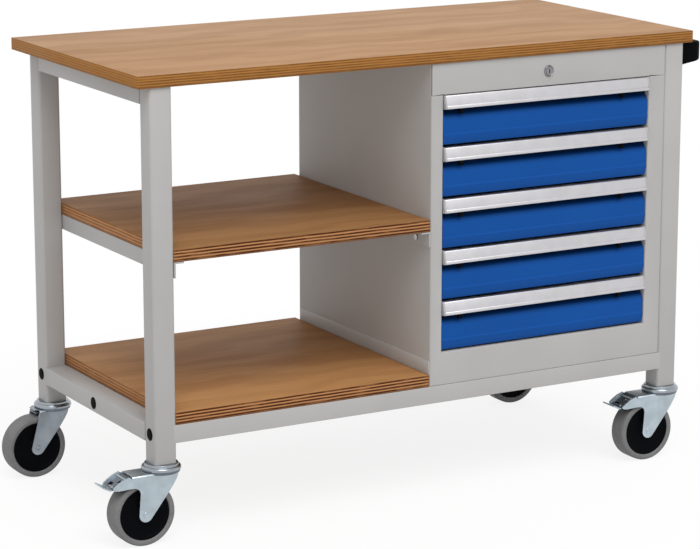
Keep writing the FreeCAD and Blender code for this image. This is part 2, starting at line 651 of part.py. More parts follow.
def make_lock():
    """The lock's case, its turning cylinder with spindle and crank, and the bar that catches every drawer."""
    flange_radius, flange_thick = LOCK_FLANGE
    body_radius, body_length = LOCK_BODY
    front = (LOCK_X, -flange_thick, LOCK_HEIGHT)
    case = fused(rod(flange_radius, front, Y_AXIS, flange_thick),
                 rod(body_radius, (LOCK_X, 0, LOCK_HEIGHT), Y_AXIS, body_length))
    save("lock_case", case.cut(rod(PLUG_RADIUS + FIT, front, Y_AXIS, flange_thick + body_length)))

    plug = rod(PLUG_RADIUS, front, Y_AXIS, flange_thick + body_length)
    key_width, key_height, key_depth = KEYWAY
    keyway = box((LOCK_X - key_width / 2, LOCK_X + key_width / 2), (-flange_thick, key_depth - flange_thick),
                 (LOCK_HEIGHT - key_height / 2, LOCK_HEIGHT + key_height / 2))
    crank_back = BAR_FRONT - CRANK_GAP
    crank_front = crank_back - CRANK_THICK
    spindle = rod(SPINDLE_RADIUS, (LOCK_X, body_length, LOCK_HEIGHT), Y_AXIS, crank_front - body_length)
    crank = box((LOCK_X - SPINDLE_RADIUS, LOCK_X + CRANK_THROW + SPINDLE_RADIUS), (crank_front, crank_back),
                (LOCK_HEIGHT - SPINDLE_RADIUS, LOCK_HEIGHT + SPINDLE_RADIUS))
    pin_radius, pin_length = CRANK_PIN
    pin = rod(pin_radius, (LOCK_X + CRANK_THROW, crank_back, LOCK_HEIGHT), Y_AXIS, pin_length)
    save("lock_cylinder", fused(plug.cut(keyway), spindle, crank, pin))

    bar_back = BAR_FRONT + BAR_THICK
    lowest = drawer_base(DRAWER_COUNT) + TAB_RISE
    bar = box((LOCK_X - BAR_WIDTH / 2, LOCK_X + BAR_WIDTH / 2), (BAR_FRONT, bar_back),
              (lowest, LOCK_HEIGHT + CRANK_THROW + SPINDLE_RADIUS))
    slot_half, slot_below, slot_above = BAR_SLOT[0] / 2, BAR_SLOT[1], BAR_SLOT[2]
    slot_x = LOCK_X + CRANK_THROW / 2
    slot = box((slot_x - slot_half, slot_x + slot_half), (BAR_FRONT, bar_back),
               (LOCK_HEIGHT - slot_below, LOCK_HEIGHT + slot_above))
    hook_x = (LOCK_X - HOOK_WIDTH / 2, LOCK_X + HOOK_WIDTH / 2)
    hooks = []
    for number in range(1, DRAWER_COUNT + 1):
        hook_foot = drawer_base(number) + TAB_RISE + TAB_LIP + HOOK_GAP
        hook_top = hook_foot + HOOK_DROP + BAR_THICK
        hook_end = BAR_FRONT - HOOK_REACH
        hook_path = [(BAR_FRONT, hook_top), (hook_end, hook_top), (hook_end, hook_foot)]
        hooks.append(bent_sheet(hook_path, BAR_THICK, X_AXIS, *hook_x))
    save("locking_bar", fused(bar.cut(slot), *hooks))


# Castors

def fork_outline(braked):
    """One cheek of the fork, from the axle: a tapered leg, and on a braked castor an arm above the tyre."""
    top = FORK_TOP - WHEEL_RADIUS
    u, v = FORK_SIDE[0]
    lean = math.atan2(v, u) + math.asin(FORK_END / math.hypot(u, v))
    foot = (FORK_END * math.sin(lean), -FORK_END * math.cos(lean))
    taper = [foot, *FORK_SIDE, (FORK_SIDE[-1][0], top)]
    if not braked:
        return taper + [(TRAIL - RACE_RADIUS, top), (-FORK_END, 0)]
    return taper + [(ARM_TOP_END, top)] + list(ARM_LOWER) + [(-FORK_END, 0)]


def fork(x, y, braked):
    """A pressed fork: two cheeks joined by a web under the lower bearing race."""
    axle_x = x - TRAIL
    half = FORK_INSIDE / 2 + CHEEK
    outline = [(axle_x + u, WHEEL_RADIUS + v) for u, v in fork_outline(braked)]
    shell = fused(prism(outline, Y_AXIS, y - half, y + half),
                  rod(FORK_END, (axle_x, y - half, WHEEL_RADIUS), Y_AXIS, half * 2))
    if not braked:
        lip_reach, lip_width = FORK_LIP
        lip_y = (y - lip_width / 2, y + lip_width / 2)
        shell = fused(shell, box((axle_x - lip_reach, x), lip_y, (FORK_TOP - FORK_WEB, FORK_TOP)))
    inner = (y - FORK_INSIDE / 2, y + FORK_INSIDE / 2)
    reach = (axle_x + PEDAL_TOE, x + RACE_RADIUS + OVER)
    shell = shell.cut(box(reach, inner, (0, FORK_TOP - FORK_WEB)))
    if braked:
        shell = shell.cut(box((axle_x + PEDAL_TOE, axle_x + ARM_SPLIT), inner, (0, FORK_TOP)))
        pivot = (axle_x + PEDAL_PIVOT[0], y - half, WHEEL_RADIUS + PEDAL_PIVOT[1])
        shell = shell.cut(rod(PEDAL_PIN_RADIUS + FIT, pivot, Y_AXIS, half * 2))
    race = rod(LOWER_RACE_RADIUS, (x, y, FORK_TOP - FORK_WEB), Z_AXIS, FORK_WEB + LOWER_RACE)
    race = race.makeFillet(RACE_ROUND, [edge for edge in level_edges(race) if edge.CenterOfMass.z > FORK_TOP])
    kingpin_hole = rod(KINGPIN_RADIUS + FIT, (x, y, 0), Z_AXIS, FORK_TOP + LOWER_RACE + OVER)
    axle_hole = rod(AXLE_RADIUS, (axle_x, y - half, WHEEL_RADIUS), Y_AXIS, half * 2)
    return fused(shell, race).cut(kingpin_hole).cut(axle_hole)


def axle(x, y):
    """The wheel's axle with a rounded head at each end."""
    half = FORK_INSIDE / 2 + CHEEK
    radius, height = AXLE_HEAD
    middle = rod(AXLE_RADIUS, (x, y - half, WHEEL_RADIUS), Y_AXIS, half * 2)
    front = rod(radius, (x, y - half, WHEEL_RADIUS), (0, -1, 0), height)
    back = rod(radius, (x, y + half, WHEEL_RADIUS), Y_AXIS, height)
    return fused(middle, front, back)


def wheel(x, y):
    """The wheel's plastic centre: a dished disc with a boss that fills the fork."""
    boss_half = FORK_INSIDE / 2 - RUN_GAP
    disc = rod(HUB_RADIUS, (x, y - HUB_WIDTH / 2, WHEEL_RADIUS), Y_AXIS, HUB_WIDTH)
    inner, outer, depth = HUB_DISH
    for start, way in ((-HUB_WIDTH / 2, 1), (HUB_WIDTH / 2, -1)):
        seat = (x, y + start, WHEEL_RADIUS)
        ring = rod(outer, seat, (0, way, 0), depth).cut(rod(inner, seat, (0, way, 0), depth))
        disc = disc.cut(ring)
    boss = rod(HUB_BOSS, (x, y - boss_half, WHEEL_RADIUS), Y_AXIS, boss_half * 2)
    bore = rod(AXLE_RADIUS + FIT, (x, y - boss_half, WHEEL_RADIUS), Y_AXIS, boss_half * 2)
    return fused(disc, boss).cut(bore)


def tyre(x, y):
    """A rubber tread with rounded shoulders around the wheel's centre."""
    start = (x, y - TYRE_WIDTH / 2, WHEEL_RADIUS)
    tread = rod(WHEEL_RADIUS, start, Y_AXIS, TYRE_WIDTH)
    rims = [edge for edge in tread.Edges if edge.BoundBox.YLength < RUN_GAP]
    tread = tread.makeFillet(TYRE_SHOULDER, rims)
    return tread.cut(rod(HUB_RADIUS, start, Y_AXIS, TYRE_WIDTH))


def stem(x, y):
    """The castor's fixed upper race, a domed cup, with its stud in the leg and its kingpin through the fork."""
    foot = FORK_TOP + RACE_SKIRT
    race = rod(RACE_RADIUS, (x, y, foot), Z_AXIS, LEG_BOTTOM - foot)
    race = race.makeFillet(RACE_DOME, [edge for edge in level_edges(race) if edge.CenterOfMass.z > foot + OVER])
    hollow = FORK_TOP + LOWER_RACE + RACE_GAP - foot
    race = race.cut(rod(LOWER_RACE_RADIUS + RUN_GAP, (x, y, foot), Z_AXIS, hollow))
    head_radius, head_height = KINGPIN_HEAD
    head_top = FORK_TOP - FORK_WEB - RUN_GAP
    pin = rod(KINGPIN_RADIUS, (x, y, head_top), Z_AXIS, LEG_BOTTOM + LEG_PLUG - OVER - head_top)
    head = rod(head_radius, (x, y, head_top - head_height), Z_AXIS, head_height)
    return fused(race, pin, head)


def pedal(axle_x, y):
    """A foot pedal that pivots between the fork's arms, with an upturned toe and a shoe over the tyre."""
    half = PEDAL_WIDTH / 2
    path = [(axle_x + u, WHEEL_RADIUS + v) for u, v in PEDAL_PATH]
    plate = bent_sheet(path, PEDAL_THICK, Y_AXIS, y - half, y + half)
    tip = axle_x + PEDAL_TOE
    plate = plate.cut(box((tip - PEDAL_THICK, tip), (y - half, y + half), (0, LEG_BOTTOM)))
    pivot_x = axle_x + PEDAL_PIVOT[0]
    pivot_z = WHEEL_RADIUS + PEDAL_PIVOT[1]
    shoe_y = (y - SHOE_WIDTH / 2, y + SHOE_WIDTH / 2)
    shoe = box([axle_x + u for u in SHOE_X], shoe_y, (WHEEL_RADIUS + SHOE_FOOT, pivot_z))
    slot_y = (y - PEDAL_SLOT_WIDTH / 2, y + PEDAL_SLOT_WIDTH / 2)
    slot = box([axle_x + u for u in PEDAL_SLOT_X], slot_y, (WHEEL_RADIUS + SHOE_FOOT, pivot_z))
    pin_half = FORK_INSIDE / 2 + CHEEK
    pin = rod(PEDAL_PIN_RADIUS, (pivot_x, y - pin_half, pivot_z), Y_AXIS, pin_half * 2)
    return fused(plate.cut(slot), shoe, pin)


def make_castors():
    """Four swivel castors, all trailing to the left, with brakes on the front pair."""
    stems = []
    ends = (("left", LEG / 2), ("right", FRAME_LENGTH - LEG / 2))
    rows = (("front", BEAM_LINES[0], True), ("rear", BEAM_LINES[2], False))
    for row, y, braked in rows:
        for end, x in ends:
            name = f"{row}_{end}_castor_"
            axle_x = x - TRAIL
            save(name + "fork", fork(x, y, braked), axle(axle_x, y))
            save(name + "wheel", wheel(axle_x, y))
            save(name + "tyre", tyre(axle_x, y))
            if braked:
                save(name + "pedal", pedal(axle_x, y))
            stems.append(stem(x, y))
    save("castor_stems", *stems)


os.makedirs("parts", exist_ok=True)
make_frame()
make_boards()
make_fasteners()
make_handle()
make_cabinet()
make_runners()
make_drawers()
make_lock()
make_castors()
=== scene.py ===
import math

import bmesh
import bpy
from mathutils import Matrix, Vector


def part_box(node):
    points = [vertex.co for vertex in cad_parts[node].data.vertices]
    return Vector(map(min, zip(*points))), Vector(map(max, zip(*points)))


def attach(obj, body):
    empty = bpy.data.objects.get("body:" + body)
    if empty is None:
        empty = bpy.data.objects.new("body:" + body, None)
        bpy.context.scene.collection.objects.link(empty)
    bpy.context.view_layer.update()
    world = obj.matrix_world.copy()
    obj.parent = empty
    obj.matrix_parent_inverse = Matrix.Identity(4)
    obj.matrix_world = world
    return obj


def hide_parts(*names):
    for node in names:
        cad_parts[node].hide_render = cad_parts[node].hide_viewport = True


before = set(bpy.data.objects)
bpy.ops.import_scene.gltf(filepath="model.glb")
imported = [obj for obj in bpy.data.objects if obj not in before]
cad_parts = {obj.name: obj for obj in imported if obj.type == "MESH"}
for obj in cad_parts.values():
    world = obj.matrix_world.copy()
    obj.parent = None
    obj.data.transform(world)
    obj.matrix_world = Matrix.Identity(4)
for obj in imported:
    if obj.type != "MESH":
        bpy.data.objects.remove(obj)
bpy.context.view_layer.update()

bl_info = {
    "name": "Mobile workbench",
    "version": (1, 0, 0),
    "blender": (4, 5, 0),
    "location": "View3D > Sidebar > Workbench",
    "description": "Builds the finished pieces of a mobile workbench around its frame",
    "category": "Add Mesh",
}

MM = 0.001
X_AXIS = Vector((1, 0, 0))
Y_AXIS = Vector((0, 1, 0))
Z_AXIS = Vector((0, 0, 1))
DRAWERS = (1, 2, 3, 4, 5)
CASTORS = ("front_left", "front_right", "rear_left", "rear_right")

# Fixed sizes, in metres
LONG_EDGE = 0.1
EASED_EDGE = 0.0006
SHELF_REACH = 0.0004
RAIL_LAP = 0.003
MOUTH_RETURN = 0.022
HEADER_RETURN = 0.020
HEADER_GAP = 0.0003
SKIRT_HEIGHT = 0.027
LOWER_RACE = 36 * MM
FLOOR_SIZE = 60

# Shares and angles
CLIP_SHARES = (0.078, 0.865)
FLOOR_GLOW = 0.85
KEY_SPREAD = math.radians(40)


# What a user may change

def length(name, description, default):
    """A size in metres."""
    return bpy.props.FloatProperty(name=name, description=description, default=default, min=0, unit="LENGTH")


def colour(name, description, default):
    """A colour."""
    return bpy.props.FloatVectorProperty(name=name, description=description, default=default, min=0, max=1,
                                         size=3, subtype="COLOR")


class BenchSizes(bpy.types.PropertyGroup):
    """Sizes of the details that are added to the frame."""
    board_edge: length("Board edge", "Rounding along the edges of the worktop and shelves", 0.0012)
    tube_corner: length("Tube corner", "Rounding along the legs and rails", 0.006)
    sheet_bend: length("Sheet bend", "Outer radius of the cabinet's folds", 0.0028)
    sheet: length("Sheet", "Thickness of the cabinet's sheet", 0.0015)
    shoulder: length("Drawer shoulder", "Rounding under the finger recess of the drawer fronts", 0.009)
    cap_width: length("Grip cap", "Width of the cap on each end of a grip strip", 0.0035)
    clip_width: length("Clip", "Width of the small clips under a grip strip", 0.009)
    handle_corner: length("Handle corner", "Radius of the push handle's outer corners", 0.018)
    handle_edge: length("Handle edge", "Rounding along the push handle's rims", 0.004)
    fork_fold: length("Fork fold", "Rounding between a fork's top and its cheeks", 0.006)


class BenchColours(bpy.types.PropertyGroup):
    """Colours of the bench."""
    frame_paint: colour("Frame paint", "Powder coat of frame and cabinet", (0.475, 0.467, 0.457))
    drawer_paint: colour("Drawer paint", "Powder coat of the drawer fronts", (0.004, 0.080, 0.345))
    top_veneer: colour("Worktop veneer", "Face of the worktop", (0.500, 0.297, 0.160))
    top_grain: colour("Worktop grain", "Darker grain on the worktop", (0.340, 0.180, 0.088))
    top_ply: colour("Worktop edge", "Layers on the worktop's edges", (0.42, 0.185, 0.045))
    shelf_veneer: colour("Shelf veneer", "Face of the shelves", (0.43, 0.222, 0.086))
    shelf_grain: colour("Shelf grain", "Darker grain on the shelves", (0.27, 0.118, 0.040))
    shelf_ply: colour("Shelf edge", "Light layers on the shelves' edges", (0.50, 0.235, 0.095))
    ply_line: colour("Ply line", "Dark layers on the plywood's edges", (0.070, 0.018, 0.003))
    grip: colour("Grip strip", "Anodised strip", (0.58, 0.57, 0.59))
    grip_cap: colour("Grip cap", "Moulded cap of the strip", (0.46, 0.455, 0.47))
    zinc: colour("Zinc", "Plating of the front castors' forks", (0.45, 0.52, 0.565))
    rear_zinc: colour("Rear zinc", "Plating of the rear castors' forks", (0.29, 0.32, 0.355))
    # Painted reflection: the races' steel is darker than the zinc, standing in for the dark reflections on them.
    race: colour("Race", "Bearing races of the castors", (0.34, 0.37, 0.40))
    # Painted reflection: the forks' upward faces get this zinc, a little darker and greyer than the cheeks, for
    # the darker reflection on top.
    fork_top_reflection: colour("Fork top", "Duller plating on top of the forks", (0.46, 0.50, 0.54))
    # Dark steel of the brake pedals, also used on the forks' lower races: partly painted reflection on the pedals,
    # painted shade on the races.
    pedal: colour("Pedal", "Brake pedals", (0.15, 0.17, 0.20))
    rubber: colour("Tyre", "Rubber of the castors", (0.185, 0.183, 0.186))
    black: colour("Black", "Black moulded plastic", (0.0022, 0.0025, 0.0035))
    steel: colour("Steel", "Runners and screws", (0.48, 0.48, 0.49))
    # Painted reflection: the lock's chrome is much darker than real chrome, standing in for dark reflections on
    # it.
    chrome_painted_reflection: colour("Chrome", "Lock", (0.27, 0.27, 0.28))


class BenchStage(bpy.types.PropertyGroup):
    """Camera, light and floor."""
    camera_place: bpy.props.FloatVectorProperty(
        name="Camera place", description="Where the camera stands", size=3, subtype="TRANSLATION",
        unit="LENGTH", default=(-2.702217, -4.782669, 1.654301))
    camera_turn: bpy.props.FloatVectorProperty(
        name="Camera turn", description="Tilt, roll and turn of the camera", size=3, subtype="EULER",
        unit="ROTATION", default=(math.radians(77.144), 0, math.radians(-29.541)))
    lens: bpy.props.FloatProperty(name="Lens", description="Focal length in millimetres", default=142.67)
    sky: bpy.props.FloatProperty(name="Sky", description="Strength of the even light all round", default=0.60)
    key: bpy.props.FloatProperty(name="Key light", description="Strength of the soft light from the front",
                                 default=1.65)
    key_way: bpy.props.FloatVectorProperty(
        name="Key direction", description="Where the soft light comes from", size=3, subtype="DIRECTION",
        default=(-0.12, -0.56, 0.82))
    floor: colour("Floor", "Colour of the floor", (1.0, 1.0, 1.0))
    floor_bounce: colour("Floor bounce", "Colour of the light that the floor throws back", (0.70, 0.70, 0.70))


# Shader maths

class Wire:
    """An output socket that can be used in arithmetic."""

    def __init__(self, sheet, socket):
        self.sheet = sheet
        self.socket = socket

    def math(self, operation, first, second=0.0):
        return self.sheet.node("ShaderNodeMath", {"operation": operation}, {0: first, 1: second})

    def __add__(self, other):
        return self.math("ADD", self, other)

    def __radd__(self, other):
        return self.math("ADD", other, self)

    def __sub__(self, other):
        return self.math("SUBTRACT", self, other)

    def __rsub__(self, other):
        return self.math("SUBTRACT", other, self)

    def __mul__(self, other):
        return self.math("MULTIPLY", self, other)

    def __rmul__(self, other):
        return self.math("MULTIPLY", other, self)

    def __abs__(self):
        return self.math("ABSOLUTE", self)

    def fraction(self):
        return self.math("FRACT", self)

    def either(self, other):
        return self.math("MAXIMUM", self, other)

    def between(self, low, high):
        """0 below one value, 1 above the other, with a soft step between."""
        return self.sheet.node("ShaderNodeMapRange", {"interpolation_type": "SMOOTHSTEP"},
                               {"Value": self, "From Min": low, "From Max": high})


class Sheet:
    """The node tree of one material or of the world."""

    def __init__(self, owner):
        self.owner = owner
        owner.use_nodes = True
        self.tree = owner.node_tree
        self.tree.nodes.clear()

    def node(self, kind, settings=None, inputs=None, output=0):
        """A new node: its settings first, then the values or links of its inputs."""
        node = self.tree.nodes.new(kind)
        for key, value in (settings or {}).items():
            setattr(node, key, value)
        for key, value in (inputs or {}).items():
            if isinstance(value, Wire):
                self.tree.links.new(value.socket, node.inputs[key])
            else:
                node.inputs[key].default_value = value
        return Wire(self, node.outputs[output]) if node.outputs else None

    def place(self):
        """The point on the bench, in metres."""
        return self.node("ShaderNodeTexCoord", output="Object")

    def axes(self, vector):
        """The three values of a vector."""
        return [self.node("ShaderNodeSeparateXYZ", None, {0: vector}, output) for output in (0, 1, 2)]

    def stretched(self, scale):
        """The point on the bench with each axis scaled."""
        return self.node("ShaderNodeMapping", None, {"Vector": self.place(), "Scale": scale})

    def noise(self, vector, scale, detail=3.0, rough=0.5):
        return self.node("ShaderNodeTexNoise", None,
                         {"Vector": vector, "Scale": scale, "Detail": detail, "Roughness": rough})

    def mix(self, factor, first, second):
        """One colour fading into another."""
        return self.node("ShaderNodeMix", {"data_type": "RGBA"}, {0: factor, 6: first, 7: second}, 2)

    def bump(self, height, strength, distance):
        return self.node("ShaderNodeBump", None,
                         {"Strength": strength, "Distance": distance, "Height": height})

    def seen(self):
        """1 for what is seen straight, in a mirror or through glass, 0 for what only lights the bench."""
        ways = [self.node("ShaderNodeLightPath", output=way)
                for way in ("Is Camera Ray", "Is Glossy Ray", "Is Transmission Ray")]
        return ways[0].either(ways[1]).either(ways[2])

    def finish(self, inputs):
        """The surface from the inputs of a principled shader."""
        surface = self.node("ShaderNodeBsdfPrincipled", None, inputs)
        self.node("ShaderNodeOutputMaterial", None, {"Surface": surface})
        return self.owner


def new_sheet(name):
    """The empty node tree of a new material."""
    return Sheet(bpy.data.materials.new(name))


def shade(rgb, factor=1.0):
    """A colour made lighter or darker."""
    return tuple(min(1.0, value * factor) for value in rgb[:3]) + (1.0,)


def powder_coat(name, rgb, rough=0.46, gloss=0.28, painted_shade_depth=None):
    """Baked paint with a fine orange peel, a little uneven in tone, with painted shade in a recess behind a given
    depth.
    """
    sheet = new_sheet(name)
    point = sheet.place()
    cloud = sheet.noise(point, 5.0, 4.0)
    grain = sheet.noise(point, 620.0, 2.0)
    tone = cloud.between(0.25, 0.75) * 0.7 + grain * 0.3
    paint = sheet.mix(tone, shade(rgb, 0.95), shade(rgb, 1.05))
    if painted_shade_depth is not None:
        # Painted shade: behind the given depth the paint darkens, standing in for the shade inside the drawers'
        # finger recess.
        painted_recess_shade = sheet.axes(point)[1].between(painted_shade_depth - 0.001, painted_shade_depth + 0.010)
        paint = sheet.mix(painted_recess_shade, paint, shade(rgb, 0.22))
    return sheet.finish({"Base Color": paint, "Roughness": rough - 0.06 + cloud * 0.12,
                         "Specular IOR Level": gloss, "Normal": sheet.bump(grain, 0.10, 0.0004)})


def plywood(name, node, veneer, grain_rgb, ply, line, layers, contrast):
    """Plywood: veneer with grain along the board on its faces, a number of dark layers on its edges."""
    low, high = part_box(node)
    sheet = new_sheet(name)
    z = sheet.axes(sheet.place())[2]
    facing = sheet.axes(sheet.node("ShaderNodeNewGeometry", output="True Normal"))
    wander = sheet.noise(sheet.stretched((1.6, 9.0, 0.0)), 1.0, 3.0)
    streak = sheet.noise(sheet.stretched((5.0, 210.0, 60.0)), 1.0, 4.0, 0.6)
    fleck = sheet.noise(sheet.stretched((120.0, 900.0, 60.0)), 1.0, 2.0)
    figure = sheet.node("ShaderNodeTexWave", {"bands_direction": "Y"},
                        {"Vector": sheet.stretched((0.55, 1.0, 0.0)), "Scale": 3.2, "Distortion": 11.0,
                         "Detail": 3.0, "Detail Scale": 1.4}, 1)
    grain = (wander.between(0.3, 0.72) * 0.35 + figure.between(0.2, 0.9) * 0.2
             + streak.between(0.32, 0.72) * 0.3 + fleck.between(0.45, 0.75) * 0.2)
    face = sheet.mix(grain, shade(veneer, 1.03), shade(grain_rgb))
    ripple = sheet.noise(sheet.stretched((14.0, 14.0, 40.0)), 1.0, 3.0)
    layer = (z - low.z) * (1.0 / (high.z - low.z)) + (ripple - 0.5) * 0.05
    step = abs((layer * layers + 0.35).fraction() - 0.5) * 2.0
    fibre = sheet.noise(sheet.stretched((260.0, 260.0, 900.0)), 1.0, 3.0)
    patch = sheet.noise(sheet.stretched((30.0, 30.0, 260.0)), 1.0, 3.0)
    dark = step.between(0.30, 0.55) * (0.6 + 0.4 * patch.between(0.3, 0.6)) * contrast + (fibre - 0.5) * 0.4
    end = abs(facing[0]).between(0.5, 0.8)
    dark = dark * (1.0 - end * 0.45) + (1.0 - layer.between(0.02, 0.10)) * contrast
    edge = sheet.mix(dark, shade(ply, 1.05), shade(line))
    flat = abs(facing[2]).between(0.75, 0.95)
    wood = sheet.mix(flat, edge, face)
    return sheet.finish({"Base Color": wood, "Roughness": 0.56 + grain * 0.12, "Specular IOR Level": 0.15,
                         "Normal": sheet.bump(streak + dark * (1.0 - flat), 0.12, 0.0004)})


def metal(name, rgb, rough, brushed=(1.0, 1.0, 1.0), cloudy=0.12):
    """Bare or plated metal with fine drawn lines and a cloudy sheen."""
    sheet = new_sheet(name)
    cloud = sheet.noise(sheet.place(), 38.0, 4.0)
    lines = sheet.noise(sheet.stretched(brushed), 420.0, 3.0)
    sheen = cloud.between(0.3, 0.7) * 0.6 + lines * 0.4
    tone = sheet.mix(sheen, shade(rgb, 1.0 - cloudy), shade(rgb, 1.0 + cloudy))
    return sheet.finish({"Base Color": tone, "Metallic": 1.0, "Roughness": rough - 0.06 + cloud * 0.12,
                         "Normal": sheet.bump(lines, 0.05, 0.0003)})


def plastic(name, rgb, rough, gloss=0.4, grain=700.0):
    """Moulded plastic or rubber with a fine mould grain."""
    sheet = new_sheet(name)
    point = sheet.place()
    cloud = sheet.noise(point, 24.0, 3.0)
    pores = sheet.noise(point, grain, 2.0)
    scuff = sheet.noise(point, 160.0, 4.0, 0.7)
    wear = cloud.between(0.25, 0.75) * 0.4 + pores * 0.2 + scuff.between(0.3, 0.7) * 0.4
    tone = sheet.mix(wear, shade(rgb, 0.78), shade(rgb, 1.20))
    return sheet.finish({"Base Color": tone, "Roughness": rough - 0.06 + cloud * 0.12,
                         "Specular IOR Level": gloss, "Normal": sheet.bump(pores, 0.10, 0.0004)})


def finishes():
    """Every finish of the bench, made once."""
    if "frame paint" in bpy.data.materials:
        return bpy.data.materials
    colours = bpy.context.scene.workbench_colours
    powder_coat("frame paint", colours.frame_paint)
    powder_coat("tray paint", colours.frame_paint, 0.5)
    # The drawer paint gets painted shade in the finger recess behind the header's front.
    powder_coat("drawer paint and recess shade", colours.drawer_paint, 0.46, 0.12, painted_shade_depth=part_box("cabinet_header")[0].y + 0.003)
    plywood("worktop plywood", "worktop", colours.top_veneer, colours.top_grain, colours.top_ply,
            colours.ply_line, 5.0, 0.62)
    # The two shelves get different tones, partly their own colour and partly painted light: the middle shelf is
    # darkened as painted shade under the worktop.
    for node, tone in (("middle_shelf", 0.83), ("lower_shelf", 1.14)):
        plywood(node + " plywood", node, shade(colours.shelf_veneer, tone), shade(colours.shelf_grain, tone),
                colours.shelf_ply, colours.ply_line, 4.0, 1.1)
    metal("grip metal", colours.grip, 0.42, (0.03, 1.0, 1.0), 0.05)
    metal("front zinc", colours.zinc, 0.34, cloudy=0.16)
    metal("rear zinc", colours.rear_zinc, 0.36, cloudy=0.18)
    metal("fork top reflection steel", colours.fork_top_reflection, 0.34)
    metal("race steel with painted reflection", colours.race, 0.26)
    metal("pedal steel with painted shade", colours.pedal, 0.34)
    metal("steel", colours.steel, 0.42, (1.0, 0.06, 1.0))
    metal("chrome_painted_reflection", colours.chrome_painted_reflection, 0.16, cloudy=0.05)
    plastic("cap plastic", colours.grip_cap, 0.48)
    plastic("black plastic", colours.black, 0.55, 0.03)
    plastic("tyre rubber", colours.rubber, 0.62)
    return bpy.data.materials


# Modelling helpers

def alone(piece):
    """Select one object and nothing else."""
    bpy.ops.object.select_all(action="DESELECT")
    piece.select_set(True)
    bpy.context.view_layer.objects.active = piece


def draw(name, points):
    """A new piece drawn point by point, left in edit mode with everything selected."""
    bpy.ops.object.select_all(action="DESELECT")
    bpy.ops.mesh.primitive_plane_add(size=MM)
    piece = bpy.context.object
    piece.name = name
    piece.data.name = name
    bpy.ops.object.mode_set(mode="EDIT")
    bpy.ops.mesh.select_mode(type="VERT")
    bpy.ops.mesh.select_all(action="SELECT")
    bpy.ops.mesh.merge(type="CENTER")
    bpy.ops.transform.translate(value=Vector(points[0]))
    for start, end in zip(points, points[1:]):
        bpy.ops.mesh.extrude_vertices_move(TRANSFORM_OT_translate={"value": Vector(end) - Vector(start)})
    bpy.ops.mesh.select_all(action="SELECT")
    return piece


def outward():
    """Turn all faces of the piece being edited outward."""
    bpy.ops.mesh.select_all(action="SELECT")
    bpy.ops.mesh.normals_make_consistent(inside=False)


def pick_edges(piece, test):
    """Select the edges of the piece being edited that pass a test of their two ends."""
    bpy.ops.mesh.select_mode(type="EDGE")
    bpy.ops.mesh.select_all(action="DESELECT")
    mesh = bmesh.from_edit_mesh(piece.data)
    for edge in mesh.edges:
        edge.select_set(test(edge.verts[0].co, edge.verts[1].co))
    bmesh.update_edit_mesh(piece.data)


def pick_faces(piece, test):
    """Select the faces of the piece being edited that pass a test of their middle and normal."""
    bpy.ops.mesh.select_mode(type="FACE")
    bpy.ops.mesh.select_all(action="DESELECT")
    mesh = bmesh.from_edit_mesh(piece.data)
    for face in mesh.faces:
        face.select_set(test(face.calc_center_median(), face.normal))
    bmesh.update_edit_mesh(piece.data)


def round_edges(piece, width, test, segments=3):
    """Round the edges that pass a test."""
    pick_edges(piece, test)
    bpy.ops.mesh.bevel(offset=width, segments=segments, affect="EDGES", clamp_overlap=True)
    bpy.ops.mesh.select_all(action="SELECT")


def prism(name, points, travel):
    """A closed outline drawn out into a solid, left in edit mode."""
    piece = draw(name, points)
    bpy.ops.mesh.edge_face_add()
    if len(bmesh.from_edit_mesh(piece.data).faces) != 1:
        raise RuntimeError("the outline of " + name + " does not close")
    bpy.ops.mesh.extrude_region_move(TRANSFORM_OT_translate={"value": Vector(travel)})
    outward()
    return piece


def block(name, low, high):
    """A box between two corners, left in edit mode."""
    low, high = Vector(low), Vector(high)
    corners = [low, (high.x, low.y, low.z), (high.x, high.y, low.z), (low.x, high.y, low.z)]
    return prism(name, corners, (0, 0, high.z - low.z))


def modify(piece, kind, settings):
    """Add one modifier to a piece in object mode and apply it."""
    alone(piece)
    modifier = piece.modifiers.new(kind.title(), kind)
    for key, value in settings.items():
        setattr(modifier, key, value)
    bpy.ops.object.modifier_apply(modifier=modifier.name)


def soften(piece, width, segments=2, angle=35):
    """Round every sharp edge of a piece."""
    bpy.ops.object.mode_set(mode="OBJECT")
    modify(piece, "BEVEL", {"width": width, "segments": segments, "limit_method": "ANGLE",
                            "angle_limit": math.radians(angle), "use_clamp_overlap": True})


def fold_edges(piece, test, travel):
    """Draw the edges that pass a test out into new faces."""
    pick_edges(piece, test)
    bpy.ops.mesh.extrude_edges_move(TRANSFORM_OT_translate={"value": Vector(travel)})


def thicken(piece, thick, facing):
    """Give an open sheet in edit mode its thickness behind the side that faces a direction."""
    outward()
    mesh = bmesh.from_edit_mesh(piece.data)
    shares = [(abs(face.normal.dot(facing)) * face.calc_area(), face.normal.dot(facing)) for face in mesh.faces]
    if max(shares)[1] < 0:
        bpy.ops.mesh.flip_normals()
    bpy.ops.object.mode_set(mode="OBJECT")
    modify(piece, "SOLIDIFY", {"thickness": thick, "offset": -1.0, "use_even_offset": True})
    bpy.ops.object.mode_set(mode="EDIT")
    outward()


def flat_sheet(name, points):
    """One flat face inside an outline, left in edit mode."""
    piece = draw(name, points)
    bpy.ops.mesh.edge_face_add()
    return piece


def near(value, *wanted):
    """Whether a value is one of those wanted."""
    return any(abs(value - one) < MM * 0.02 for one in wanted)


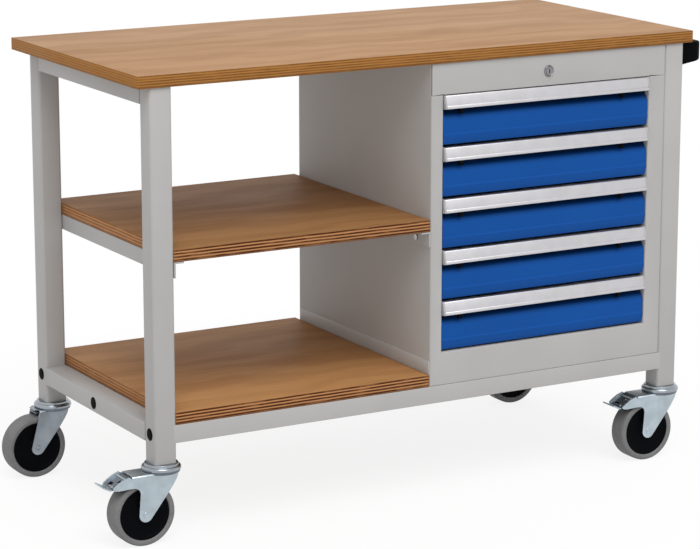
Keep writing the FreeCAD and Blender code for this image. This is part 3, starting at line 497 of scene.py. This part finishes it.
def turned(name, profile, place, axis, steps=64):
    """A lathed piece: pairs of radius and distance along the axis, spun round the axis through a place."""
    axis = Vector(axis)
    side = axis.orthogonal().normalized()
    place = Vector(place)
    piece = draw(name, [place + side * (radius * MM) + axis * (along * MM) for radius, along in profile])
    bpy.ops.mesh.spin(steps=steps, angle=math.tau, center=place, axis=axis)
    bpy.ops.mesh.select_all(action="SELECT")
    bpy.ops.mesh.remove_doubles(threshold=MM * 0.004)
    outward()
    return piece


def done(piece, finish, smooth=35):
    """Leave edit mode, smooth the round parts and give the piece its finish."""
    if piece.mode == "EDIT":
        bpy.ops.object.mode_set(mode="OBJECT")
    alone(piece)
    bpy.ops.object.shade_smooth_by_angle(angle=math.radians(smooth))
    piece.data.materials.clear()
    piece.data.materials.append(finishes()[finish])
    return piece


def joined(name, pieces):
    """Several pieces made into one object."""
    bpy.ops.object.select_all(action="DESELECT")
    for piece in pieces:
        piece.select_set(True)
    bpy.context.view_layer.objects.active = pieces[0]
    bpy.ops.object.join()
    pieces[0].name = name
    pieces[0].data.name = name
    return pieces[0]


def second_finish(piece, finish, test):
    """Give the faces that pass a test another finish."""
    alone(piece)
    piece.data.materials.append(finishes()[finish])
    bpy.ops.object.mode_set(mode="EDIT")
    pick_faces(piece, test)
    piece.active_material_index = len(piece.data.materials) - 1
    bpy.ops.object.material_slot_assign()
    bpy.ops.object.mode_set(mode="OBJECT")


def fit(piece, body, slot, *nodes):
    """Let a finished piece move with a body, in place of the frame's nodes if any are named."""
    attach(piece, body)
    if nodes:
        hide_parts(*nodes)


def paint(node, finish):
    """Give a piece of the frame that stays as it is its finish."""
    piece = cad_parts[node]
    piece.data.materials.clear()
    piece.data.materials.append(finishes()[finish])


# Places

def drawer_sizes(number):
    """The left and right end of a drawer's front, the bench's front plane and the grip's top."""
    low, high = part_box(f"drawer_{number}_front")
    return low.x, high.x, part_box("cabinet_header")[0].y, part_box(f"drawer_{number}_grip")[1].z


def side_view(x, plane, top, outline):
    """Points at one x from pairs of depth behind the front plane and drop below the grip's top, in millimetres."""
    return [(x, plane + y * MM, top - drop * MM) for y, drop in outline]


def mirrored(half):
    """A closed profile from its half on one side of the wheel's middle."""
    return half + [(radius, -along) for radius, along in reversed(half)] + half[:1]


# Pieces

class WORKBENCH_OT_boards(bpy.types.Operator):
    """Build the worktop and the two shelves with eased edges"""
    bl_idname = "workbench.boards"
    bl_label = "Worktop and shelves"

    def execute(self, context):
        sizes = context.scene.workbench_sizes
        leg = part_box("left_end_frame")[1].x
        for node in ("worktop", "middle_shelf", "lower_shelf"):
            low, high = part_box(node)
            if node != "worktop":
                low.x = leg - SHELF_REACH
            piece = block(node + "_board", low, high)
            soften(piece, sizes.board_edge)
            fit(done(piece, node + " plywood"), "bench", "plywood", node)
        return {"FINISHED"}


class WORKBENCH_OT_tube_frame(bpy.types.Operator):
    """Build the end frames and beams of rounded tube and the domed bolt caps, and finish angles and fasteners"""
    bl_idname = "workbench.tube_frame"
    bl_label = "Tube frame"

    def execute(self, context):
        for node in ("left_shelf_angle", "right_shelf_angle", "cabinet_back_panel"):
            paint(node, "frame paint")
        for node in ("frame_bolts", "machine_screws", "wood_screws", "cabinet_runners", "locking_bar"):
            paint(node, "steel")
        corner = context.scene.workbench_sizes.tube_corner
        beam_low, beam_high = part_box("front_beam")
        leg, rail = beam_high.y - beam_low.y, beam_high.z - beam_low.z
        for side, lap in (("left", (0, RAIL_LAP)), ("right", (RAIL_LAP, 0))):
            low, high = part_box(side + "_end_frame")
            tubes = []
            for y in (low.y, high.y - leg):
                tubes.append(self.tube("leg", (low.x, y, low.z), (high.x, y + leg, high.z), 2, corner))
            for z in (beam_low.z, high.z - rail):
                tubes.append(self.tube("rail", (low.x - lap[0], low.y + leg, z),
                                       (high.x + lap[1], high.y - leg, z + rail), 1, corner / 6))
            fit(joined(side + "_end_tubes", tubes), "bench", "frame_paint", side + "_end_frame")
        beams = []
        for node in ("front_beam", "centre_beam", "rear_beam"):
            low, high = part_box(node)
            beams.append((low + high) / 2)
            reach = Vector((0 if node == "centre_beam" else corner, 0, 0))
            fit(self.tube(node + "_tube", low - reach, high + reach, 0, corner / 4), "bench", "frame_paint", node)
        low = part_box("left_end_frame")[0]
        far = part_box("right_end_frame")[1]
        dome = [(0, 2.0), (4.5, 1.95), (8.0, 1.7), (10.4, 1.25), (11.6, 0.7), (12.0, 0.15), (12.0, 0.0),
                (11.0, 0.0), (11.0, -8.0), (0, -8.0)]
        caps = []
        for x, way in ((low.x, -1), (far.x, 1)):
            for beam in beams:
                caps.append(done(turned("cap", dome, (x, beam.y, beam.z), X_AXIS * way, 40), "black plastic"))
        fit(joined("bolt_cap_set", caps), "bench", "black_plastic", "bolt_caps")
        return {"FINISHED"}

    def tube(self, name, low, high, axis, corner):
        piece = block(name, low, high)
        round_edges(piece, corner, lambda a, b: abs(b[axis] - a[axis]) > LONG_EDGE, 5)
        soften(piece, EASED_EDGE)
        return done(piece, "frame paint")


class WORKBENCH_OT_cabinet(bpy.types.Operator):
    """Build the cabinet's folded sheets: one front frame with the sides, the strip at its foot and the header"""
    bl_idname = "workbench.cabinet"
    bl_label = "Cabinet"

    def execute(self, context):
        sizes = context.scene.workbench_sizes
        thick, bend = sizes.sheet, sizes.sheet_bend
        low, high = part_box("cabinet_left_panel")
        opening = (high.x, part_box("cabinet_right_panel")[0].x)
        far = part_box("cabinet_right_panel")[1].x
        head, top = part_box("cabinet_header")[0].z, high.z
        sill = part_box("cabinet_floor")[1].z
        front, depth = low.y, high.y - low.y
        outline = [(low.x, low.z), (far, low.z), (far, head), (opening[1], head), (opening[1], sill),
                   (opening[0], sill), (opening[0], head), (low.x, head)]
        shell = flat_sheet("cabinet_shell", [(x, front, z) for x, z in outline])
        bottom, sides, mouth = (
            lambda a, b: near(a.z, low.z) and near(b.z, low.z),
            lambda a, b: (near(a.x, low.x) and near(b.x, low.x)) or (near(a.x, far) and near(b.x, far)),
            lambda a, b: near(a.y, front) and near(b.y, front) and (
                (near(a.x, *opening) and near(b.x, *opening)) or (near(a.z, sill) and near(b.z, sill))))
        fold_edges(shell, lambda a, b: sides(a, b) and near(a.y, front), (0, depth, 0))
        fold_edges(shell, lambda a, b: bottom(a, b) and near(a.y, front) and near(b.y, front),
                   (0, depth - thick, 0))
        fold_edges(shell, mouth, (0, MOUTH_RETURN, 0))
        round_edges(shell, bend, lambda a, b: near(a.y, front) and near(b.y, front)
                    and not (near(a.z, head) and near(b.z, head)), 4)
        fold_edges(shell, lambda a, b: sides(a, b) and near(a.z, head) and near(b.z, head)
                   and abs(b.y - a.y) > LONG_EDGE, (0, 0, top - head))
        bpy.ops.mesh.select_all(action="SELECT")
        thicken(shell, thick, -Y_AXIS)
        fit(done(shell, "frame paint"), "bench", "frame_paint", "cabinet_left_panel", "cabinet_right_panel",
            "cabinet_floor")

        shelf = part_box("lower_shelf")[1].z
        skirt = block("cabinet_skirt", (low.x - thick, front + bend, shelf),
                      (low.x + thick / 2, high.y - bend, shelf + SKIRT_HEIGHT))
        soften(skirt, thick / 2)
        fit(done(skirt, "frame paint"), "bench", "frame_paint")

        left, right, foot = low.x + thick * 1.1, far - thick * 1.1, head + HEADER_GAP
        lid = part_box("cabinet_header")[1].z
        outline = [(left, foot), (opening[0], foot), (opening[1], foot), (right, foot), (right, lid), (left, lid)]
        header = flat_sheet("cabinet_header_sheet", [(x, front, z) for x, z in outline])
        upper, lower = (
            lambda a, b: near(a.z, lid) and near(b.z, lid),
            lambda a, b: near(a.z, foot) and near(b.z, foot) and near(a.x, *opening) and near(b.x, *opening))
        fold_edges(header, upper, (0, depth, 0))
        fold_edges(header, lower, (0, HEADER_RETURN, 0))
        round_edges(header, bend * 0.6, lambda a, b: near(a.y, front) and near(b.y, front)
                    and (upper(a, b) or lower(a, b)), 4)
        thicken(header, thick, -Y_AXIS)
        fit(done(header, "frame paint"), "bench", "frame_paint", "cabinet_header")
        return {"FINISHED"}


class WORKBENCH_OT_drawers(bpy.types.Operator):
    """Build the folded drawer fronts, grip strips with their caps, and the clips under the strips"""
    bl_idname = "workbench.drawers"
    bl_label = "Drawers"

    def execute(self, context):
        for number in DRAWERS:
            self.front(context, number)
            self.grip(context, number)
            self.clips(context, number)
            paint(f"drawer_{number}_tray", "tray paint")
            paint(f"drawer_{number}_telescopes", "steel")
        return {"FINISHED"}

    def front(self, context, number):
        shoulder = context.scene.workbench_sizes.shoulder
        left, right, plane, top = drawer_sizes(number)
        side = [(17, 2), (17, 30), (2, 46), (2.6, 75), (1.3, 78.2), (5.4, 97), (20, 97), (20, 2)]
        piece = prism(f"drawer_{number}_panel", side_view(left, plane, top, side), (right - left, 0, 0))
        hidden = plane + 16.5 * MM

        def bends(a, b):
            return abs(b.x - a.x) > LONG_EDGE and any(near(a.y, y) and near(a.z, z)
                                                      for x, y, z in side_view(left, plane, top, side[1:3]))

        def ends(a, b):
            return near(a.x, b.x) and max(a.y, b.y) < hidden

        round_edges(piece, shoulder, bends, 8)
        round_edges(piece, 0.002, ends, 3)
        soften(piece, 0.0008)
        fit(done(piece, "drawer paint and recess shade", 8), f"drawer_{number}", "drawer_paint", f"drawer_{number}_front")

    def grip(self, context, number):
        left, right, plane, top = drawer_sizes(number)
        cap = context.scene.workbench_sizes.cap_width
        strip = [(20, 0), (-1, 0), (-6.1, 19.2), (-5.7, 20.0), (-6.9, 21.0), (-8, 25.2), (-7.6, 26.2), (-3, 27),
                 (-2.9, 25.6), (-5.6, 24.6), (0.5, 2), (20, 2)]
        points = side_view(left + cap, plane, top, strip)
        piece = prism(f"drawer_{number}_grip_strip", points, (right - left - cap * 2, 0, 0))
        round_edges(piece, 0.0022, lambda a, b: abs(b.x - a.x) > LONG_EDGE and near(a.y, plane - MM)
                    and near(a.z, top), 4)
        soften(piece, 0.00035)
        fit(done(piece, "grip metal"), f"drawer_{number}", "grip_metal", f"drawer_{number}_grip")
        outline = [(-1.2, 0), (16.9, 0), (16.9, 29), (6, 27.6), (-3.2, 26.9), (-7.4, 26.4), (-8, 25)]
        caps = []
        for x in (left, right - cap):
            end = prism("cap", side_view(x, plane, top, outline), (cap, 0, 0))
            soften(end, 0.0005)
            caps.append(done(end, "cap plastic"))
        fit(joined(f"drawer_{number}_grip_caps", caps), f"drawer_{number}", "grip_metal")

    def clips(self, context, number):
        left, right, plane, top = drawer_sizes(number)
        width = context.scene.workbench_sizes.clip_width
        outline = [(-6.2, 26.9), (4.5, 26.0), (4.5, 30.0), (0.5, 31.5), (-0.2, 37.0), (-3.4, 37.0), (-5.0, 31.0)]
        clips = []
        for share in CLIP_SHARES:
            x = left + (right - left) * share - width / 2
            clip = prism("clip", side_view(x, plane, top, outline), (width, 0, 0))
            soften(clip, EASED_EDGE)
            clips.append(done(clip, "black plastic"))
        fit(joined(f"drawer_{number}_clips", clips), f"drawer_{number}", "black_plastic")


class WORKBENCH_OT_lock(bpy.types.Operator):
    """Build the lock's polished ring and finish its cylinder"""
    bl_idname = "workbench.lock"
    bl_label = "Lock"

    def execute(self, context):
        low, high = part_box("lock_case")
        place = ((low.x + high.x) / 2, low.y, (low.z + high.z) / 2)
        profile = [(8.2, 2.2), (8.4, 0.6), (9.0, 0.0), (9.8, 0.2), (10.6, 1.2), (11.4, 2.2), (11.6, 3.0),
                   (10.0, 3.0), (10.0, 25.0), (8.2, 25.0), (8.2, 2.2)]
        # The lock ring and cylinder take the darkened chrome, a painted reflection.
        fit(done(turned("lock_ring", profile, place, Y_AXIS, 48), "chrome_painted_reflection"), "bench", "lock_chrome", "lock_case")
        paint("lock_cylinder", "chrome_painted_reflection")
        return {"FINISHED"}


class WORKBENCH_OT_handle(bpy.types.Operator):
    """Build the rounded push handle"""
    bl_idname = "workbench.handle"
    bl_label = "Push handle"

    def execute(self, context):
        sizes = context.scene.workbench_sizes
        low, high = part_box("push_handle")
        arm, bar, rise = 0.030, 0.015, 0.008
        outline = [(low.x, low.y), (high.x, low.y), (high.x, high.y), (low.x, high.y), (low.x, high.y - arm),
                   (high.x - bar, high.y - arm), (high.x - bar, low.y + arm), (low.x, low.y + arm)]
        piece = prism("push_handle_bow", [(x, y, low.z) for x, y in outline], (0, 0, high.z - low.z))
        for x in (high.x - bar, high.x):
            pick_edges(piece, lambda a, b: near(a.x, x) and near(b.x, x) and near(a.z, low.z) and near(b.z, low.z))
            bpy.ops.transform.translate(value=(0, 0, rise * (x - low.x) / (high.x - low.x)))

        def upright(x):
            return lambda a, b: abs(b.z - a.z) > 0.03 and near(a.x, x)

        round_edges(piece, sizes.handle_corner, upright(high.x), 8)
        round_edges(piece, 0.006, upright(high.x - bar), 5)
        soften(piece, sizes.handle_edge, 4)
        fit(done(piece, "black plastic"), "bench", "black_plastic", "push_handle")
        return {"FINISHED"}


class WORKBENCH_OT_castors(bpy.types.Operator):
    """Build the castors: tyres, wheels, pressed forks, bearing races and brake pedals"""
    bl_idname = "workbench.castors"
    bl_label = "Castors"

    def execute(self, context):
        races = []
        for name in CASTORS:
            node = name + "_castor_"
            low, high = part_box(node + "wheel")
            axle = (low + high) / 2
            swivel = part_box(node + "fork")[1].x - LOWER_RACE
            braked = node + "pedal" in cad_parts
            self.tyre(name, axle)
            self.wheel(name, axle)
            self.fork(context, name, axle, swivel, braked)
            if braked:
                self.pedal(name, axle)
            races.append(self.stem(swivel, axle.y))
        fit(joined("castor_top_races", races), "bench", "zinc", "castor_stems")
        return {"FINISHED"}

    def tyre(self, name, axle):
        shoulder = [(57.4 + 5.0 * math.sin(math.radians(turn)), -15.5 - 5.0 * math.cos(math.radians(turn)))
                    for turn in range(0, 90, 15)]
        rim = [(50.5, -17.4), (51.2, -19.2), (52.6, -20.2), (54.6, -20.5)]
        half = rim + shoulder + [(62.42, -14.0), (62.5, -8)]
        piece = turned(name + "_tread", mirrored(half), axle, Y_AXIS, 96)
        fit(done(piece, "tyre rubber"), name + "_wheel", "tyre_rubber", name + "_castor_tyre")

    def wheel(self, name, axle):
        half = [(5.05, -21.1), (11.2, -21.1), (12.0, -20.4), (12.0, -19.2), (15.6, -19.0), (17.4, -18.4),
                (18.6, -17.0), (42.0, -16.5), (44.6, -17.2), (46.0, -18.6), (47.2, -19.0), (50.45, -18.8)]
        disc = done(turned(name + "_disc", mirrored(half), axle, Y_AXIS, 96), "black plastic")
        fit(disc, name + "_wheel", "wheel_plastic", name + "_castor_wheel")

    def fork(self, context, name, axle, swivel, braked):
        plating = "front zinc" if braked else "rear zinc"
        top, end, half, wall = 77.8, 14.0, 25.0, 64.0
        back = [(50, 41), (59, 54), (65, wall), (67.4, 70), (68, top)]
        lean = math.atan2(41, 50) + math.asin(end / math.hypot(50, 41))
        turns = [180 + (90 + math.degrees(lean)) * step / 10 for step in range(11)]
        outline = [(end * math.cos(math.radians(t)), end * math.sin(math.radians(t))) for t in turns] + back
        if braked:
            split = -27.0
            outline += [(split, top), (-33, top), (-46, 73.2), (-58, 66), (-66, 60), (-65.2, 57.2), (-62.5, 55.2),
                        (-55, 54), (-34, 55), (-21, 54.6), (-15.5, 52.4), (-12.2, 48.6), (-10.6, 43)]
        else:
            split = 6.5
            outline += [(split, top)]
        points = [axle + Vector((u, -half, v)) * MM for u, v in outline]
        shell = prism("shell", points, (0, half * 2 * MM, 0))
        pick_faces(shell, lambda middle, normal: abs(normal.y) < 0.9 and not (
            middle.z > axle.z + wall * MM and middle.x > axle.x + split * MM and max(normal.x, normal.z) > 0.7))
        bpy.ops.mesh.delete(type="FACE")
        floor = axle.z + wall * MM - MM * 0.01
        edge = axle.x + split * MM - MM * 0.01
        fold = half * MM - MM * 0.01

        def folds(a, b):
            inside = min(a.z, b.z) > floor and min(a.x, b.x) > edge
            along = min(abs(a.y - axle.y), abs(b.y - axle.y)) > fold
            level = near(a.z, axle.z + top * MM) and near(b.z, axle.z + top * MM)
            return inside and along and level

        round_edges(shell, context.scene.workbench_sizes.fork_fold, folds, 5)
        thicken(shell, 3.5 * MM, Z_AXIS)
        soften(shell, 0.0008)
        parts = [done(shell, plating)]
        if braked:
            # Painted reflection: the upward faces of the fork take a darker zinc than its cheeks.
            second_finish(shell, "fork top reflection steel", lambda middle, normal: normal.z > 0.8 and middle.z > axle.z + 0.07)
        else:
            for drop in (0.2, 6.5):
                low = axle + Vector((-2.0 + drop * 0.4, -13.0, top - drop - 2.4)) * MM
                high = Vector((swivel, axle.y + 13 * MM, axle.z + (top - drop) * MM))
                lip = block("lip", low, high)
                soften(lip, 0.0010)
                parts.append(done(lip, plating))
        # Painted shade: the fork's lower race takes the dark pedal steel, so a dark line shows under the upper
        # race.
        race = [(6.05, -4.0), (34.6, -4.0), (35.7, -3.2), (36.0, -2.0), (36.0, 3.6), (35.2, 5.4), (33.6, 6.2),
                (31.5, 6.3), (31.0, 7.15), (6.05, 7.15), (6.05, -4.0)]
        place = (swivel, axle.y, axle.z + top * MM)
        parts.append(done(turned("race", race, place, Z_AXIS), "pedal steel with painted shade"))
        head = [(0, 0.5), (2.4, 0.6), (3.4, 1.3), (4.6, 1.5), (5.6, 1.0), (6.0, 0.0), (5.0, 0.0), (5.0, -26.0),
                (0, -26.0)]
        for way in (-1, 1):
            place = axle + Y_AXIS * (way * half * MM)
            parts.append(done(turned("rivet", head, place, Y_AXIS * way, 32), plating))
        fit(joined(name + "_fork_shell", parts), name + "_fork", "zinc", name + "_castor_fork")

    def stem(self, swivel, y):
        profile = [(0, 132.2), (8.4, 132.2), (9.0, 132.8), (9.0, 136.0), (6.0, 136.0), (6.0, 148.0),
                   (36.3, 148.0), (36.3, 142.2), (37.4, 142.2), (37.9, 142.7), (38.0, 143.6), (38.0, 145.2),
                   (37.6, 147.0), (36.4, 148.6), (34.2, 149.4), (33.0, 149.4), (32.6, 150.2), (32.8, 151.6),
                   (32.6, 153.0), (31.6, 153.9), (30.6, 154.0), (6.0, 154.0), (6.0, 178.9), (0, 178.9)]
        # The upper race and stem take the darkened race steel, a painted reflection.
        return done(turned("stem", profile, (swivel, y, 0), Z_AXIS), "race steel with painted reflection")

    def plate(self, axle, path, rows, holes, finish):
        points = [axle + Vector((u, rows[0], v)) * MM for u, v in path]
        piece = draw("plate", points)
        for start, end in zip(rows, rows[1:]):
            bpy.ops.mesh.extrude_region_move(TRANSFORM_OT_translate={"value": Y_AXIS * ((end - start) * MM)})
        if holes:
            def in_hole(middle, normal):
                u, y = (middle.x - axle.x) / MM, (middle.y - axle.y) / MM
                return any(hole[0] < u < hole[1] and hole[2] < y < hole[3] for hole in holes)

            pick_faces(piece, in_hole)
            bpy.ops.mesh.delete(type="FACE")
        thicken(piece, 3 * MM, Z_AXIS)
        soften(piece, 0.0007, 2, 25)
        return done(piece, finish)

    def pedal(self, name, axle):
        slope = [(-31, 77), (-43, 70.66), (-50, 66.96), (-54, 64.84), (-62, 60.61), (-66, 58.5), (-67, 58.4)]
        slots = [(-62, -54, 0, 14), (-50, -43, -15, -5)]
        # The pedal plate's dark steel is partly painted reflection.
        parts = [self.plate(axle, slope, (-20.5, -15, -5, 0, 14, 20.5), slots, "pedal steel with painted shade")]
        toe = [(-66.5, 58.4), (-70, 58), (-83.4, 64.7)]
        parts.append(self.plate(axle, toe, (-20.4, 20.4), [], "front zinc"))
        shoe = block("shoe", axle + Vector((-54, -14, 49)) * MM, axle + Vector((-45, 14, 61)) * MM)
        soften(shoe, 0.001)
        parts.append(done(shoe, "black plastic"))
        pin = [(0, -24.9), (2.4, -24.9), (3.0, -24.3), (3.0, 24.3), (2.4, 24.9), (0, 24.9)]
        place = axle + Vector((-40, 0, 68)) * MM
        parts.append(done(turned("pin", pin, place, Y_AXIS, 32), "front zinc"))
        bead = [(0, -19.5), (1.4, -19.2), (2.0, -18.4), (2.0, 18.4), (1.4, 19.2), (0, 19.5)]
        place = axle + Vector((-38.5, 0, 72.8)) * MM
        parts.append(done(turned("bead", bead, place, Y_AXIS, 24), "front zinc"))
        knob = [(0, 1.8), (1.6, 1.6), (2.7, 0.9), (3.0, 0.0), (3.0, -1.5), (0, -1.5)]
        place = axle + Vector((-62.5, -11, 60.4)) * MM
        parts.append(done(turned("knob", knob, place, Vector((-0.467, 0, 0.884)), 24), "front zinc"))
        fit(joined(name + "_pedal_plate", parts), name + "_pedal", "zinc", name + "_castor_pedal")


class WORKBENCH_OT_stage(bpy.types.Operator):
    """Set the floor, the light and the camera"""
    bl_idname = "workbench.stage"
    bl_label = "Stage"

    def execute(self, context):
        stage = context.scene.workbench_stage
        bpy.ops.object.select_all(action="DESELECT")
        bpy.ops.mesh.primitive_plane_add(size=FLOOR_SIZE)
        floor = context.object
        floor.name = "floor"
        sheet = new_sheet("floor")
        tone = sheet.mix(sheet.seen(), shade(stage.floor_bounce), shade(stage.floor))
        ground = sheet.node("ShaderNodeBsdfPrincipled", None,
                            {"Base Color": tone, "Roughness": 0.9, "Specular IOR Level": 0.0})
        white = sheet.node("ShaderNodeEmission", None, {"Color": (1, 1, 1, 1), "Strength": 1.0})
        pale = sheet.node("ShaderNodeMixShader", None, {0: sheet.seen() * FLOOR_GLOW, 1: ground, 2: white})
        sheet.node("ShaderNodeOutputMaterial", None, {"Surface": pale})
        floor.data.materials.append(sheet.owner)
        self.sky(context, stage)
        way = -Vector(stage.key_way)
        bpy.ops.object.light_add(type="SUN", location=(0, 0, 3), rotation=way.to_track_quat("-Z", "Y").to_euler())
        lamp = context.object
        lamp.name = "key"
        lamp.data.energy = stage.key
        lamp.data.angle = KEY_SPREAD
        bpy.ops.object.camera_add(location=stage.camera_place, rotation=stage.camera_turn)
        camera = context.object
        camera.name = "camera"
        camera.data.lens = stage.lens
        camera.data.sensor_width = 36
        camera.data.clip_end = 200
        context.scene.camera = camera
        context.scene.view_settings.view_transform = "Standard"
        return {"FINISHED"}

    def sky(self, context, stage):
        world = bpy.data.worlds.new("sky")
        context.scene.world = world
        sheet = Sheet(world)
        plain = sheet.node("ShaderNodeBackground", None, {"Color": (1, 1, 1, 1), "Strength": stage.sky})
        white = sheet.node("ShaderNodeBackground", None, {"Color": (1, 1, 1, 1), "Strength": 1.0})
        light = sheet.node("ShaderNodeMixShader", None, {0: sheet.seen(), 1: plain, 2: white})
        sheet.node("ShaderNodeOutputWorld", None, {"Surface": light})


class WORKBENCH_PT_pieces(bpy.types.Panel):
    """The pieces of the workbench and what can be changed on them"""
    bl_idname = "WORKBENCH_PT_pieces"
    bl_label = "Mobile workbench"
    bl_space_type = "VIEW_3D"
    bl_region_type = "UI"
    bl_category = "Workbench"

    def draw(self, context):
        for operator in OPERATORS:
            self.layout.operator(operator.bl_idname)
        for name in GROUPS:
            group = getattr(context.scene, name)
            box = self.layout.box()
            for key in group.__annotations__:
                box.prop(group, key)


OPERATORS = (WORKBENCH_OT_boards, WORKBENCH_OT_tube_frame, WORKBENCH_OT_cabinet, WORKBENCH_OT_drawers,
             WORKBENCH_OT_lock, WORKBENCH_OT_handle, WORKBENCH_OT_castors, WORKBENCH_OT_stage)
GROUPS = {"workbench_sizes": BenchSizes, "workbench_colours": BenchColours, "workbench_stage": BenchStage}


def register():
    """Add the workbench's properties, operators and panel."""
    for name, group in GROUPS.items():
        bpy.utils.register_class(group)
        setattr(bpy.types.Scene, name, bpy.props.PointerProperty(type=group))
    for operator in OPERATORS:
        bpy.utils.register_class(operator)
    bpy.utils.register_class(WORKBENCH_PT_pieces)


def unregister():
    """Take them away again."""
    bpy.utils.unregister_class(WORKBENCH_PT_pieces)
    for operator in reversed(OPERATORS):
        bpy.utils.unregister_class(operator)
    for name, group in GROUPS.items():
        delattr(bpy.types.Scene, name)
        bpy.utils.unregister_class(group)


def main():
    """Build every piece."""
    register()
    bpy.ops.workbench.boards()
    bpy.ops.workbench.tube_frame()
    bpy.ops.workbench.cabinet()
    bpy.ops.workbench.drawers()
    bpy.ops.workbench.lock()
    bpy.ops.workbench.handle()
    bpy.ops.workbench.castors()
    bpy.ops.workbench.stage()


if __name__ == "__main__":
    main()
